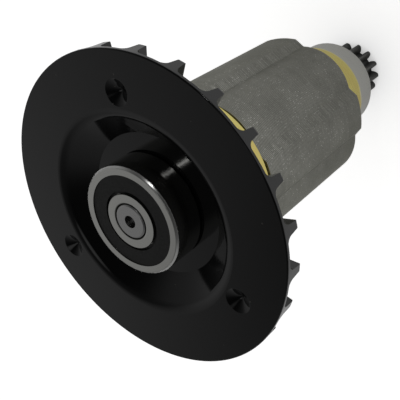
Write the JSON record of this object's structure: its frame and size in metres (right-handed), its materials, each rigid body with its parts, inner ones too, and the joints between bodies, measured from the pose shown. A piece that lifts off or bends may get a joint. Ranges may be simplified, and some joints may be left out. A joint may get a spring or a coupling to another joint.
{
  "type": "power tool rotor",
  "caption": "Brushless power tool rotor: lamination stack with buried magnets, brass balance rings, bladed fan, sealed ball bearings and a toothed pinion on one shaft.",
  "frame": {"origin": "middle of the pinion's free end face, where the part stands", "axes": "+Z along the shaft towards the fan; +X through one lobe of the lamination stack"},
  "size_m": [0.055, 0.055, 0.0777],
  "materials": {
    "shaft_steel": "ground and bright",
    "gear_steel": "hardened and dark",
    "lamination_steel": "coated sheet edges, satin",
    "magnet": "nickel plated",
    "brass": "turned",
    "fan_plastic": "moulded, half gloss",
    "bearing_steel": "ground and polished",
    "ball_steel": "polished",
    "cage_nylon": "moulded nylon",
    "seal_rubber": "matt"
  },
  "bodies": {
    "rotor": {"shaft": "shaft_steel", "pinion": "gear_steel", "rear_bearing_inner_ring": "bearing_steel", "front_bearing_inner_ring": "bearing_steel", "rear_spacer": "shaft_steel", "fan_spacer": "shaft_steel", "lamination_stack": "lamination_steel", "magnet_1": "magnet", "magnet_2": "magnet", "magnet_3": "magnet", "magnet_4": "magnet", "rear_balance_ring": "brass", "front_balance_ring": "brass", "fan": "fan_plastic"},
    "rear_bearing_case": {"rear_bearing_outer_ring": "bearing_steel", "rear_bearing_lower_seal": "seal_rubber", "rear_bearing_upper_seal": "seal_rubber"},
    "rear_bearing_train": {"rear_bearing_balls": "ball_steel", "rear_bearing_cage": "cage_nylon"},
    "front_bearing_case": {"front_bearing_outer_ring": "bearing_steel", "front_bearing_lower_seal": "seal_rubber", "front_bearing_upper_seal": "seal_rubber"},
    "front_bearing_train": {"front_bearing_balls": "ball_steel", "front_bearing_cage": "cage_nylon"}
  },
  "joints": [
    {"name": "rear_bearing_spin", "type": "hinge", "parent": "rotor", "child": "rear_bearing_case", "pos_m": [0, 0, 0.0132], "axis": [0, 0, 1], "continuous": true},
    {"name": "rear_cage_spin", "type": "hinge", "parent": "rotor", "child": "rear_bearing_train", "pos_m": [0, 0, 0.0132], "axis": [0, 0, 1], "continuous": true},
    {"name": "front_bearing_spin", "type": "hinge", "parent": "rotor", "child": "front_bearing_case", "pos_m": [0, 0, 0.07455], "axis": [0, 0, 1], "continuous": true},
    {"name": "front_cage_spin", "type": "hinge", "parent": "rotor", "child": "front_bearing_train", "pos_m": [0, 0, 0.07455], "axis": [0, 0, 1], "continuous": true}
  ],
  "couplings": [
    {"joint": "rear_cage_spin", "follows": "rear_bearing_spin", "ratio": 0.64},
    {"joint": "front_cage_spin", "follows": "front_bearing_spin", "ratio": 0.64}
  ]
}
